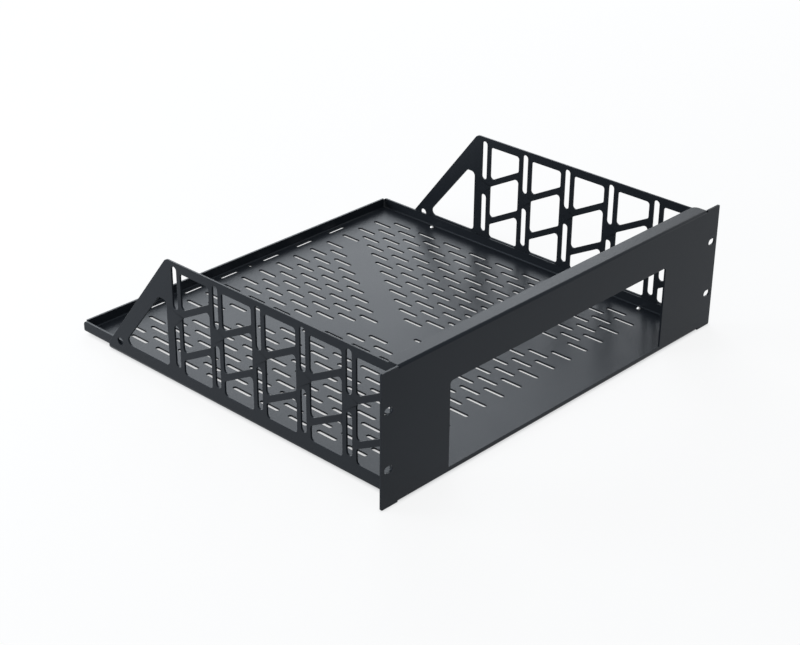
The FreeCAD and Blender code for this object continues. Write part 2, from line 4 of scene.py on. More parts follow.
import bmesh
import bpy
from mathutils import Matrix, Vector


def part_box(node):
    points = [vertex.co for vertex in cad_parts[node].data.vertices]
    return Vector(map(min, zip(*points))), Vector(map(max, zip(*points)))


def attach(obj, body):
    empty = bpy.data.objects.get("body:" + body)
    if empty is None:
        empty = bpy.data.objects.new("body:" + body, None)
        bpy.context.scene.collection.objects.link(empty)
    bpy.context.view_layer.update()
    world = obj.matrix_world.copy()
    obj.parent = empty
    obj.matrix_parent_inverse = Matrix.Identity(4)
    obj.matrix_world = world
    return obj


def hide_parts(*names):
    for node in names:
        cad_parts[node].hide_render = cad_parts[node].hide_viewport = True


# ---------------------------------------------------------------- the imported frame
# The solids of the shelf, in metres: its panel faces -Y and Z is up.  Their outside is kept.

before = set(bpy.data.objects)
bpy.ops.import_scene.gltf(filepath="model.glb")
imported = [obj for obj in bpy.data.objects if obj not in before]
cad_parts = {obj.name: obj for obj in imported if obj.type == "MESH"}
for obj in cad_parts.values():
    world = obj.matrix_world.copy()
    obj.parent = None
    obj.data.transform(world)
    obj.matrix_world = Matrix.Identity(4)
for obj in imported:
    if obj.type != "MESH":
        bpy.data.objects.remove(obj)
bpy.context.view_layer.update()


# ---------------------------------------------------------------- front panel
# One sheet of 2 mm steel, laser cut and folded back along its top and bottom: ears with four
# slots for the rack's screws, and a wide window above a low sill.  Like the tray and brackets it
# is powder coated: a baked satin black film, faintly pebbled, that rounds over the cut edges.

MM = 0.001
COAT_DEEP = (0.0150, 0.0176, 0.0218, 1.0)
COAT_PALE = (0.0210, 0.0245, 0.0300, 1.0)
COAT_SHEEN = (0.74, 0.86, 1.0, 1.0)
COAT_SHINE = 0.14
COAT_ROUGHNESS = 0.26
COAT_UNEVENNESS = 0.08
COAT_PEBBLE = 1.1 * MM
COAT_PEBBLE_HEIGHT = 0.35 * MM
COAT_PEBBLE_STRENGTH = 0.22
COAT_CLOUD = 60 * MM
COAT_EDGE = 0.3 * MM
EDGE_STEPS = 2
EDGE_LEAST_TURN = math.radians(50)
FLAT_TURN = math.radians(0.5)
WELD_REACH = 0.02 * MM
SQUARE_ON = 0.9999
NARROW = 1.3 * MM


class Wire:
    """A shader socket that can be used in sums, such as cloud * 0.2 + 0.4."""

    def __init__(self, board, socket):
        self.board = board
        self.socket = socket

    def _maths(self, operation, first, second):
        return self.board.add("ShaderNodeMath", {"operation": operation}, [first, second])

    def __add__(self, other):
        return self._maths("ADD", self, other)

    def __mul__(self, other):
        return self._maths("MULTIPLY", self, other)

    __radd__ = __add__
    __rmul__ = __mul__


class Board:
    """The emptied node tree of a new material, or of the world, and the one way to add nodes."""

    def __init__(self, owner):
        self.owner = owner
        owner.use_nodes = True
        self.tree = owner.node_tree
        self.tree.nodes.clear()

    def add(self, kind, settings=None, inputs=None, output=0):
        """Add a node, set it, feed its sockets with values or wires, and return one output."""
        node = self.tree.nodes.new(kind)
        for key, value in (settings or {}).items():
            setattr(node, key, value)
        pairs = inputs.items() if isinstance(inputs, dict) else enumerate(inputs or [])
        for key, value in pairs:
            if isinstance(value, Wire):
                self.tree.links.new(value.socket, node.inputs[key])
            else:
                node.inputs[key].default_value = value
        return Wire(self, node.outputs[output]) if node.outputs else node

    def blend(self, share, first, second):
        """A colour that goes from the first to the second as the share goes from 0 to 1."""
        # A Mix node keeps its colours in inputs 6 and 7 and in output 2.
        return self.add("ShaderNodeMix", {"data_type": "RGBA"}, {0: share, 6: first, 7: second}, 2)


def powder_coat(name):
    """Satin black powder coat: cloudy in sheen, and pebbled like very fine orange peel."""
    board = Board(bpy.data.materials.new(name))
    place = board.add("ShaderNodeTexCoord", None, None, "Object")
    pebble = board.add("ShaderNodeTexNoise", None, {
        "Vector": place, "Scale": 1 / COAT_PEBBLE, "Detail": 3.0, "Roughness": 0.6})
    cloud = board.add("ShaderNodeTexNoise", None, {
        "Vector": place, "Scale": 1 / COAT_CLOUD, "Detail": 3.0, "Roughness": 0.5})
    relief = board.add("ShaderNodeBump", None, {
        "Strength": COAT_PEBBLE_STRENGTH, "Distance": COAT_PEBBLE_HEIGHT, "Height": pebble})
    surface = board.add("ShaderNodeBsdfPrincipled", None, {
        "Base Color": board.blend(cloud, COAT_DEEP, COAT_PALE),
        "Roughness": (cloud + pebble) * COAT_UNEVENNESS + COAT_ROUGHNESS,
        "Specular IOR Level": COAT_SHINE,
        "Specular Tint": COAT_SHEEN,
        "Normal": relief})
    board.add("ShaderNodeOutputMaterial", None, {"Surface": surface})
    return board.owner


def paint(piece, material):
    """Give every face of a piece one material."""
    piece.data.materials.clear()
    piece.data.materials.append(material)


def put_in_scene(name, mesh):
    """A new piece of the scene, at the origin."""
    piece = bpy.data.objects.new(name, mesh)
    bpy.context.scene.collection.objects.link(piece)
    return piece


def weld(work):
    """Join the vertices that lie together."""
    bmesh.ops.remove_doubles(work, verts=work.verts, dist=WELD_REACH)


def settle(piece):
    """Turn a piece and its modifiers into one plain mesh."""
    bpy.context.view_layer.update()
    evaluated = piece.evaluated_get(bpy.context.evaluated_depsgraph_get())
    plain = bpy.data.meshes.new_from_object(evaluated)
    piece.modifiers.clear()
    piece.data = plain


def is_curved(mesh, face):
    """True for the narrow faces of a fold or of a rounded edge, and false for a sheet's flats."""
    if max(abs(share) for share in face.normal) > SQUARE_ON:
        return False
    corners = [mesh.vertices[number].co for number in face.vertices]
    return min((a - b).length for a, b in zip(corners, corners[1:] + corners[:1])) < NARROW


def soften_edges(piece, radius):
    """Round the cut edges of a sheet the way a baked film does, and settle the piece."""
    rounding = piece.modifiers.new("coat_edge", "BEVEL")
    rounding.width = radius
    rounding.segments = EDGE_STEPS
    rounding.limit_method = "ANGLE"
    rounding.angle_limit = EDGE_LEAST_TURN
    settle(piece)
    for face in piece.data.polygons:
        face.use_smooth = is_curved(piece.data, face)


black_coat = powder_coat("satin_black_powder_coat")

panel_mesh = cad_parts["front_panel"].data.copy()
panel_work = bmesh.new()
panel_work.from_mesh(panel_mesh)
weld(panel_work)
bmesh.ops.dissolve_limit(panel_work, angle_limit=FLAT_TURN, verts=panel_work.verts,
                         edges=panel_work.edges)
panel_work.to_mesh(panel_mesh)
panel_work.free()
panel = put_in_scene("coated_front_panel", panel_mesh)
soften_edges(panel, COAT_EDGE)
paint(panel, black_coat)
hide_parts("front_panel")
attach(panel, "root")


# ---------------------------------------------------------------- tray
# One sheet of 2 mm steel, turret punched and then folded up along its sides and rear.  The vents
# are round-ended slots in staggered rows, left out along two bands that cross and stiffen the
# floor.  Slots for cable ties and a small hole run along the rear edge.

TRAY_SHEET = 2.0 * MM
TRAY_FOLD = 1.5 * MM
FOLD_STEPS = 8
HOLE_STEPS = 24
SLOT_END_STEPS = 3
NEAR_HALF = 0.499
VENT_LENGTH = 25.4 * MM
VENT_WIDTH = 4.7 * MM
VENT_ACROSS = 12.7 * MM
VENT_BACK = 19.05 * MM
VENT_COLUMNS = 31
VENT_ROWS = 19
VENT_FRONT = 60.3 * MM
CROSSING_ROW = 8
BAND_FRONT = 7
BAND_REAR = 9
TIE_LENGTH = 25.0 * MM
TIE_WIDTH = 4.5 * MM
TIE_FIRST = 30.5 * MM
TIE_PITCH = 50.3 * MM
TIE_INSET = 7.6 * MM
TIES_EACH_SIDE = 3
REAR_HOLE = 5.0 * MM
RIM_CORNER = 4.0 * MM
CORNER_STEPS = 6
RIVET_HEAD_RADIUS = 2.5 * MM
RIVET_SHANK_RADIUS = 1.6 * MM

tray_low, tray_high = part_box("tray")
panel_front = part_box("front_panel")[0].y
rim_inside = tray_high.x - TRAY_SHEET
fold_line = rim_inside - TRAY_FOLD
rear_fold_line = tray_high.y - TRAY_SHEET - TRAY_FOLD
floor_top = tray_low.z + TRAY_SHEET
fold_top = floor_top + TRAY_FOLD
rivet_low, rivet_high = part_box("rivets")
rivet_across = rivet_high.x - RIVET_HEAD_RADIUS
rivet_rows = (rivet_low.y + RIVET_HEAD_RADIUS, rivet_high.y - RIVET_HEAD_RADIUS)


class Bench:
    """A new Geometry Nodes tree with named inputs, and the one way to add nodes to it."""

    def __init__(self, name, inputs):
        self.tree = bpy.data.node_groups.new(name, "GeometryNodeTree")
        self.values = inputs
        self.keys = {}
        self.tree.interface.new_socket("Geometry", in_out="INPUT",
                                       socket_type="NodeSocketGeometry")
        for label, value in inputs.items():
            kind = "NodeSocketInt" if isinstance(value, int) else "NodeSocketFloat"
            socket = self.tree.interface.new_socket(label, in_out="INPUT", socket_type=kind)
            self.keys[label] = socket.identifier
        self.tree.interface.new_socket("Geometry", in_out="OUTPUT",
                                       socket_type="NodeSocketGeometry")
        self.start = self.tree.nodes.new("NodeGroupInput")

    def __getitem__(self, label):
        """One of the tree's own inputs."""
        return self.start.outputs[label]

    def add(self, kind, settings=None, inputs=None, output=0):
        """Add a node, set it, feed its sockets, and return one output."""
        node = self.tree.nodes.new(kind)
        for key, value in (settings or {}).items():
            setattr(node, key, value)
        for key, value in (inputs or {}).items():
            for one in value if isinstance(value, list) else [value]:
                if isinstance(one, bpy.types.NodeSocket):
                    self.tree.links.new(one, node.inputs[key])
                else:
                    node.inputs[key].default_value = one
        return node.outputs[output]

    def maths(self, operation, first, second=0.0):
        """A Math node."""
        return self.add("ShaderNodeMath", {"operation": operation}, {0: first, 1: second})

    def both(self, first, second):
        """True where both are."""
        return self.add("FunctionNodeBooleanMath", {"operation": "AND"}, {0: first, 1: second})

    def negated(self, value):
        """True where a value isn't."""
        return self.add("FunctionNodeBooleanMath", {"operation": "NOT"}, {0: value})

    def finish(self, geometry, piece):
        """Send the geometry out, and run the tree on a piece with the named inputs."""
        end = self.tree.nodes.new("NodeGroupOutput")
        self.tree.links.new(geometry, end.inputs["Geometry"])
        modifier = piece.modifiers.new(self.tree.name, "NODES")
        modifier.node_group = self.tree
        for label, key in self.keys.items():
            modifier[key] = self.values[label]


def slot_curve(bench, width, across, back):
    """The outline of a slot whose ends are all but half circles."""
    block = bench.add("GeometryNodeCurvePrimitiveQuadrilateral", None,
                      {"Width": across, "Height": back})
    return bench.add("GeometryNodeFilletCurve", {"mode": "POLY"}, {
        "Curve": block, "Count": SLOT_END_STEPS, "Radius": bench.maths("MULTIPLY", width, NEAR_HALF),
        "Limit Radius": True})


def round_curve(bench, width):
    """The outline of a round hole."""
    return bench.add("GeometryNodeCurvePrimitiveCircle", {"mode": "RADIUS"}, {
        "Resolution": HOLE_STEPS, "Radius": bench.maths("MULTIPLY", width, 0.5)})


def moved_back(bench, geometry, distance):
    """The same geometry, moved towards the rear."""
    return bench.add("GeometryNodeTransform", None, {
        "Geometry": geometry,
        "Translation": bench.add("ShaderNodeCombineXYZ", None, {"Y": distance})})


def vent_outlines(bench):
    """The vents, at every other place of a grid, but with none along two crossing bands."""
    across, back = bench["Pitch across"], bench["Pitch back"]
    last_column = bench.maths("SUBTRACT", bench["Columns"], 1.0)
    last_row = bench.maths("SUBTRACT", bench["Rows"], 1.0)
    half_rows = bench.maths("MULTIPLY", last_row, 0.5)
    places = bench.add("GeometryNodeMeshGrid", None, {
        "Size X": bench.maths("MULTIPLY", last_column, across),
        "Size Y": bench.maths("MULTIPLY", last_row, back),
        "Vertices X": bench["Columns"], "Vertices Y": bench["Rows"]})

    # Columns are counted from the middle one, and rows from the front one.
    here = bench.add("ShaderNodeSeparateXYZ", None, {0: bench.add("GeometryNodeInputPosition")})
    here_y = here.node.outputs["Y"]
    column = bench.maths("ROUND", bench.maths("DIVIDE", here, across))
    row = bench.maths("ROUND", bench.maths(
        "ADD", bench.maths("DIVIDE", here_y, back), half_rows))
    odd = bench.maths("GREATER_THAN", bench.maths(
        "FLOORED_MODULO", bench.maths("ADD", row, column), 2.0), 0.5)

    # A place on a band lies as many columns from the middle as rows from the crossing.
    away = bench.maths("SUBTRACT", row, bench["Crossing row"])
    offset = bench.maths("ABSOLUTE", bench.maths(
        "SUBTRACT", bench.maths("ABSOLUTE", column), bench.maths("ABSOLUTE", away)))
    on_band = bench.maths("LESS_THAN", offset, 0.5)
    front_end = bench.maths("MULTIPLY", bench["Band to the front"], -1.0)
    before = bench.maths("LESS_THAN", away, bench.maths("SUBTRACT", front_end, 0.5))
    behind = bench.maths("GREATER_THAN", away,
                         bench.maths("ADD", bench["Band to the rear"], 0.5))
    within = bench.both(bench.negated(before), bench.negated(behind))
    bare = bench.both(on_band, within)

    vents = bench.add("GeometryNodeInstanceOnPoints", None, {
        "Points": places, "Selection": bench.both(bench.negated(odd), bench.negated(bare)),
        "Instance": slot_curve(bench, bench["Vent width"], bench["Vent width"],
                               bench["Vent length"])})
    middle_row = bench.maths("ADD", bench["First row"], bench.maths("MULTIPLY", half_rows, back))
    return moved_back(bench, vents, middle_row)


def fastening_outlines(bench):
    """The small rear hole, the rivets' four holes, and the cable-tie slots."""
    hole = moved_back(bench, round_curve(bench, bench["Rear hole"]), bench["Rear line"])
    corners = bench.add("GeometryNodeMeshGrid", None, {
        "Size X": bench["Rivets apart"], "Size Y": bench["Rivet rows apart"],
        "Vertices X": 2, "Vertices Y": 2})
    riveted = bench.add("GeometryNodeInstanceOnPoints", None, {
        "Points": corners, "Instance": round_curve(bench, bench["Rivet hole"])})
    ties = bench.add("GeometryNodeInstanceOnPoints", None, {
        "Points": bench["Geometry"],
        "Instance": slot_curve(bench, bench["Tie slot width"], bench["Tie slot length"],
                               bench["Tie slot width"])})
    return [hole, moved_back(bench, riveted, bench["Rivet middle"]), ties]


def punched_floor(piece):
    """The tray's flat floor.  The piece's own vertices are the places of the cable-tie slots."""
    bench = Bench("punched_tray_floor", {
        "Floor width": 2 * fold_line, "Floor depth": rear_fold_line - tray_low.y,
        "Floor middle": (rear_fold_line + tray_low.y) / 2, "Sheet": TRAY_SHEET,
        "Vent length": VENT_LENGTH, "Vent width": VENT_WIDTH,
        "Pitch across": VENT_ACROSS, "Pitch back": VENT_BACK,
        "Columns": VENT_COLUMNS, "Rows": VENT_ROWS,
        "First row": panel_front + VENT_FRONT, "Crossing row": CROSSING_ROW,
        "Band to the front": BAND_FRONT, "Band to the rear": BAND_REAR,
        "Tie slot length": TIE_LENGTH, "Tie slot width": TIE_WIDTH,
        "Rear hole": REAR_HOLE, "Rear line": tray_high.y - TIE_INSET,
        "Rivet hole": 2 * RIVET_SHANK_RADIUS, "Rivets apart": 2 * rivet_across,
        "Rivet rows apart": rivet_rows[1] - rivet_rows[0],
        "Rivet middle": (rivet_rows[0] + rivet_rows[1]) / 2})
    blank = bench.add("GeometryNodeCurvePrimitiveQuadrilateral", None, {
        "Width": bench["Floor width"], "Height": bench["Floor depth"]})
    blank = moved_back(bench, blank, bench["Floor middle"])
    outlines = bench.add("GeometryNodeJoinGeometry", None, {
        "Geometry": [blank] + fastening_outlines(bench) + [vent_outlines(bench)]})
    outlines = bench.add("GeometryNodeRealizeInstances", None, {"Geometry": outlines})

    # The outlines are filled all at once, and the filled face is given the sheet's thickness.
    underside = bench.add("GeometryNodeFillCurve", {"mode": "TRIANGLES"}, {"Curve": outlines})
    raised = bench.add("GeometryNodeExtrudeMesh", {"mode": "FACES"}, {
        "Mesh": underside, "Offset Scale": bench["Sheet"], "Individual": False})
    lower = bench.add("GeometryNodeFlipFaces", None, {"Mesh": underside})
    slab = bench.add("GeometryNodeJoinGeometry", None, {"Geometry": [raised, lower]})
    slab = bench.add("GeometryNodeMergeByDistance", None, {
        "Geometry": slab, "Distance": WELD_REACH})
    coated = bench.add("GeometryNodeSetMaterial", None, {
        "Geometry": bench.add("GeometryNodeRealizeInstances", None, {"Geometry": slab}),
        "Material": black_coat})
    bench.finish(coated, piece)


def fold(centre, inner, outer):
    """A quarter turn of a sheet, in section: its outer arc, then its inner arc going back."""
    turns = [math.radians(90 * step / FOLD_STEPS - 90) for step in range(FOLD_STEPS + 1)]
    return [[(centre[0] + radius * math.cos(turn), centre[1] + radius * math.sin(turn))
             for turn in order] for radius, order in ((outer, turns), (inner, turns[::-1]))]


def sweep(work, section, place, start, end, open_edges=(), caps=(True, True)):
    """Draw a closed section out along a line; place turns (across, up, along) into a spot."""
    rings = [[work.verts.new(place(across, up, along)) for across, up in section]
             for along in (start, end)]
    for here in range(len(section)):
        after = (here + 1) % len(section)
        if here not in open_edges:
            work.faces.new([rings[0][here], rings[0][after], rings[1][after], rings[1][here]])
    for ring, capped in zip(rings, caps):
        if capped:
            work.faces.new(ring)


def on_plane(face, axis, level):
    """True for a face square to an axis, at one level of it."""
    return (abs(face.normal[axis]) > SQUARE_ON and
            all(abs(corner.co[axis] - level) < WELD_REACH for corner in face.verts))


def tray_floor():
    """The flat floor, with its vents, slots and holes, lying with its underside at zero."""
    tie_spots = [(side * (TIE_FIRST + number * TIE_PITCH), tray_high.y - TIE_INSET, 0)
                 for side in (-1, 1) for number in range(TIES_EACH_SIDE)]
    mesh = bpy.data.meshes.new("tray_floor")
    mesh.from_pydata(tie_spots, [], [])
    piece = put_in_scene("coated_tray", mesh)
    punched_floor(piece)
    settle(piece)
    return piece


def along_side(hand):
    """How a section is placed on the left rim, -1, or the right rim, 1, which run backwards."""
    return lambda across, up, along: (hand * across, along, up)


def fold_up_rims(work):
    """Open the floor's edges and weld on the folds and rims of both sides and of the rear."""
    work.normal_update()
    seams = [face for face in work.faces if
             on_plane(face, 0, fold_line) or on_plane(face, 0, -fold_line) or
             on_plane(face, 1, rear_fold_line)]
    bmesh.ops.delete(work, geom=seams, context="FACES_ONLY")
    outer_arc, inner_arc = fold((fold_line, fold_top), TRAY_FOLD, TRAY_FOLD + TRAY_SHEET)
    rim_top = [(tray_high.x, tray_high.z), (rim_inside, tray_high.z)]
    rim_section = outer_arc + rim_top + inner_arc
    rim_seam = len(rim_section) - 1

    # Behind the rear fold, a side rim runs on with only the part of its section that stands
    # outside the rear rim.  A small face closes the rest.
    beyond = next(number for number, spot in enumerate(outer_arc) if spot[0] > rim_inside)
    notch = (rim_inside, outer_arc[beyond][1])
    end_section = [notch] + outer_arc[beyond:] + rim_top + inner_arc[:1]
    step_section = outer_arc[:beyond + 1] + [notch] + inner_arc
    for hand in (-1, 1):
        place = along_side(hand)
        sweep(work, rim_section, place, tray_low.y, rear_fold_line, {rim_seam}, (True, False))
        sweep(work, end_section, place, rear_fold_line, tray_high.y, (), (False, True))
        work.faces.new([work.verts.new(place(across, up, rear_fold_line))
                        for across, up in step_section])

    rear_shift = rear_fold_line - fold_line
    sweep(work, rim_section, lambda across, up, along: (along, across + rear_shift, up),
          -fold_line, fold_line, {rim_seam})
    weld(work)
    bmesh.ops.recalc_face_normals(work, faces=work.faces)


def round_rear_tips(work):
    """Make each side rim's flats whole, then round its upper rear corner."""
    joins = [edge for edge in work.edges if
             all(abs(corner.co.y - rear_fold_line) < WELD_REACH and
                 corner.co.z > fold_top - WELD_REACH and
                 abs(corner.co.x) > rim_inside - WELD_REACH for corner in edge.verts)]
    bmesh.ops.dissolve_edges(work, edges=joins, use_verts=True)
    tips = [edge for edge in work.edges if
            all(corner.co.z > tray_high.z - WELD_REACH and
                corner.co.y > tray_high.y - WELD_REACH and
                abs(corner.co.x) > rim_inside - WELD_REACH for corner in edge.verts)]
    bmesh.ops.bevel(work, geom=tips, offset=RIM_CORNER, segments=CORNER_STEPS,
                    profile=0.5, affect="EDGES")


tray = tray_floor()
tray_work = bmesh.new()
tray_work.from_mesh(tray.data)
bmesh.ops.translate(tray_work, verts=tray_work.verts, vec=(0, 0, tray_low.z))
fold_up_rims(tray_work)
round_rear_tips(tray_work)
tray_work.to_mesh(tray.data)
tray_work.free()
soften_edges(tray, COAT_EDGE)
paint(tray, black_coat)
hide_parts("tray")
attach(tray, "root")


# ---------------------------------------------------------------- side brackets
# A left and a right bracket, mirror images, of 2 mm steel.  Each is cut into a truss of braces
# and split posts with rounded corners, then folded: inward along the bottom as a foot for the
# tray, and inward at the front as a tab that is welded to the back of the panel.

SHEET = 2.0 * MM
BRACKET_FOLD = 2.0 * MM
LIP_DEPTH = 16.1 * MM
TAB_WIDTH = 12.0 * MM
TAB_LOW = 16.2 * MM
TAB_HIGH = 127.1 * MM
HEEL_HEIGHT = 7.7 * MM
SLOPE_LENGTH = 96.3 * MM
CREST_ROUND = 8.0 * MM
BAY_COUNT = 5
BAY_START = 10.9 * MM
BAY_PITCH = 57.15 * MM
POST = 17.5 * MM
OPENING_ROUND = 3.5 * MM
OPENINGS_LOW = 15.6 * MM
TOP_RAIL = 9.1 * MM
BRACE_LOW = 30.3 * MM
UPPER_BRACE_DROP = 46.4 * MM
BRACE_FALL = 21.3 * MM
BRACE_HEIGHT = 7.5 * MM
SLOT_WIDTH = 7.0 * MM
SLOT_LENGTH = 44.1 * MM
LOW_SLOT = 20.0 * MM
HIGH_SLOT_DROP = 4.7 * MM
GUSSET_LOW = 16.5 * MM
GUSSET_DROP = 44.1 * MM
GUSSET_GAP = 4.75 * MM
GUSSET_CREST = 13.0 * MM
GUSSET_HEEL = 26.0 * MM
GUSSET_ROUND = 5.0 * MM
HEEL_HOLE_RADIUS = 4.0 * MM
HEEL_HOLE_INSET = 18.5 * MM
HEEL_HOLE_HEIGHT = 15.0 * MM

bracket_low, bracket_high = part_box("right_bracket")
web_outside = bracket_high.x
bracket_top = bracket_high.z
foot_end = bracket_high.y - panel_front
slope_start = foot_end - SLOPE_LENGTH
outer_round = BRACKET_FOLD + SHEET
foot_fold = web_outside - outer_round
tab_fold = panel_front + SHEET + outer_round


def rounded(corners, radius):
    """An outline whose corners are arcs; a corner is (back, up), or has a radius of its own."""
    outline = []
    count = len(corners)
    for number, corner in enumerate(corners):
        here = Vector(corner[:2])
        own = corner[2] if len(corner) > 2 else radius
        before = (Vector(corners[number - 1][:2]) - here).normalized()
        after = (Vector(corners[(number + 1) % count][:2]) - here).normalized()
        if own == 0:
            outline.append(tuple(here))
            continue
        half_angle = before.angle(after) / 2
        centre = here + (before + after).normalized() * (own / math.sin(half_angle))
        first = here + before * (own / math.tan(half_angle)) - centre
        last = here + after * (own / math.tan(half_angle)) - centre
        turn = math.atan2(first.cross(last), first.dot(last))
        for step in range(CORNER_STEPS + 1):
            angle = turn * step / CORNER_STEPS
            spot = Vector((first.x * math.cos(angle) - first.y * math.sin(angle),
                           first.x * math.sin(angle) + first.y * math.cos(angle)))
            outline.append(tuple(centre + spot))
    return outline


def ring(across, up, radius):
    """The outline of a round hole."""
    turns = [math.tau * step / HOLE_STEPS for step in range(HOLE_STEPS)]
    return [(across + radius * math.cos(turn), up + radius * math.sin(turn)) for turn in turns]


def web_outlines():
    """The web's edge and every opening in it, as distances back from the panel's face and up."""
    front = SHEET + outer_round
    edge = rounded([(front, outer_round), (LIP_DEPTH, outer_round), (foot_end, outer_round),
                    (foot_end, HEEL_HEIGHT), (slope_start, bracket_top, CREST_ROUND),
                    (front, bracket_top), (front, TAB_HIGH), (front, TAB_LOW)], 0)
    openings = []
    ceiling = bracket_top - TOP_RAIL
    upper_low = ceiling - UPPER_BRACE_DROP
    for bay in range(BAY_COUNT):
        near = BAY_START + bay * BAY_PITCH
        far = near + BAY_PITCH - POST
        for low_near, low_far, high_near, high_far in (
                (OPENINGS_LOW, OPENINGS_LOW, BRACE_LOW + BRACE_FALL, BRACE_LOW),
                (BRACE_LOW + BRACE_FALL + BRACE_HEIGHT, BRACE_LOW + BRACE_HEIGHT,
                 upper_low + BRACE_FALL, upper_low),
                (upper_low + BRACE_FALL + BRACE_HEIGHT, upper_low + BRACE_HEIGHT,
                 ceiling, ceiling)):
            openings.append(rounded([(near, low_near), (far, low_far), (far, high_far),
                                     (near, high_near)], OPENING_ROUND))
        left, right = far + (POST - SLOT_WIDTH) / 2, far + (POST + SLOT_WIDTH) / 2
        for low in (LOW_SLOT, bracket_top - HIGH_SLOT_DROP - SLOT_LENGTH):
            openings.append(rounded([(left, low), (right, low), (right, low + SLOT_LENGTH),
                                     (left, low + SLOT_LENGTH)], SLOT_WIDTH * NEAR_HALF))
    start = BAY_START + BAY_COUNT * BAY_PITCH + GUSSET_GAP
    crest = bracket_top - GUSSET_DROP
    openings.append(rounded([(start, GUSSET_LOW), (foot_end - GUSSET_HEEL, GUSSET_LOW),
                             (slope_start + GUSSET_CREST, crest), (start, crest)], GUSSET_ROUND))
    openings.append(ring(foot_end - HEEL_HOLE_INSET, HEEL_HOLE_HEIGHT, HEEL_HOLE_RADIUS))
    return [edge] + openings


def cut_flat(work, outlines, place):
    """A flat piece of sheet: its outlines are filled, then given the sheet's thickness."""
    drawing = bpy.data.curves.new("drawing", "CURVE")
    drawing.dimensions = "2D"
    drawing.fill_mode = "BOTH"
    drawing.extrude = SHEET / 2
    for outline in outlines:
        line = drawing.splines.new("POLY")
        line.points.add(len(outline) - 1)
        line.use_cyclic_u = True
        for point, (first, second) in zip(line.points, outline):
            point.co = (first, second, 0, 1)
    blank = put_in_scene("blank", drawing)
    bpy.context.view_layer.update()
    evaluated = blank.evaluated_get(bpy.context.evaluated_depsgraph_get())
    flat = bpy.data.meshes.new_from_object(evaluated)
    bpy.data.objects.remove(blank)
    for corner in flat.vertices:
        corner.co = place(*corner.co)
    work.from_mesh(flat)


def begins_a_fold(face):
    """True for a face of the flat web or foot that a fold takes the place of."""
    middle = face.calc_center_median()
    beside_foot = on_plane(face, 0, foot_fold)
    under_web = on_plane(face, 2, outer_round) and middle.y > panel_front + LIP_DEPTH
    beside_tab = on_plane(face, 1, tab_fold) and TAB_LOW < middle.z < TAB_HIGH
    return beside_foot or under_web or beside_tab


def bracket(name, hand):
    """One bracket: the right one, or its mirror image."""
    work = bmesh.new()
    cut_flat(work, web_outlines(), lambda back, up, through:
             (web_outside - SHEET / 2 + through, panel_front + back, up))
    foot = [(bracket_low.x, panel_front + LIP_DEPTH), (foot_fold, panel_front + LIP_DEPTH),
            (foot_fold, bracket_high.y), (bracket_low.x, bracket_high.y)]
    holes = [ring(rivet_across, row, RIVET_SHANK_RADIUS) for row in rivet_rows]
    cut_flat(work, [foot] + holes, lambda across, back, through:
             (across, back, SHEET / 2 + through))
    weld(work)
    work.normal_update()
    seams = [face for face in work.faces if begins_a_fold(face)]
    bmesh.ops.delete(work, geom=seams, context="FACES_ONLY")

    outer, inner = fold((foot_fold, outer_round), BRACKET_FOLD, outer_round)
    sweep(work, outer + inner, lambda across, up, along: (across, along, up),
          panel_front + LIP_DEPTH, bracket_high.y, {len(outer) - 1, 2 * len(outer) - 1})
    outer, inner = fold((foot_fold, tab_fold), BRACKET_FOLD, outer_round)
    inside = web_outside - TAB_WIDTH
    tab = outer + inner + [(inside, panel_front + 2 * SHEET), (inside, panel_front + SHEET)]
    sweep(work, tab, lambda across, back, along: (across, back, along),
          TAB_LOW, TAB_HIGH, {len(outer) - 1})
    weld(work)
    for corner in work.verts:
        corner.co.x *= hand
    bmesh.ops.recalc_face_normals(work, faces=work.faces)
    mesh = bpy.data.meshes.new(name)
    work.to_mesh(mesh)
    work.free()
    piece = put_in_scene("coated_" + name, mesh)
    soften_edges(piece, COAT_EDGE)
    paint(piece, black_coat)
    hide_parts(name)
    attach(piece, "root")


bracket("right_bracket", 1)
bracket("left_bracket", -1)


# ---------------------------------------------------------------- rivets
# Four aluminium blind rivets, with low domed heads, hold the tray down on the brackets' feet.
# They are set after the coating, so their bare heads stand out on the black floor.

RIVET_PALE = (0.92, 0.92, 0.91, 1.0)
RIVET_DULL = (0.78, 0.78, 0.78, 1.0)
RIVET_ROUGHNESS = 0.42
RIVET_UNEVENNESS = 0.12
SCUFF = 1.2 * MM
DOME_STEPS = 7


def bare_aluminium(name):
    """Aluminium wire, headed and left bright, with fine handling marks."""
    board = Board(bpy.data.materials.new(name))
    place = board.add("ShaderNodeTexCoord", None, None, "Object")
    scuff = board.add("ShaderNodeTexNoise", None, {
        "Vector": place, "Scale": 1 / SCUFF, "Detail": 4.0, "Roughness": 0.6})
    surface = board.add("ShaderNodeBsdfPrincipled", None, {
        "Base Color": board.blend(scuff, RIVET_PALE, RIVET_DULL), "Metallic": 1.0,
        "Roughness": scuff * RIVET_UNEVENNESS + RIVET_ROUGHNESS})
    board.add("ShaderNodeOutputMaterial", None, {"Surface": surface})
    return board.owner


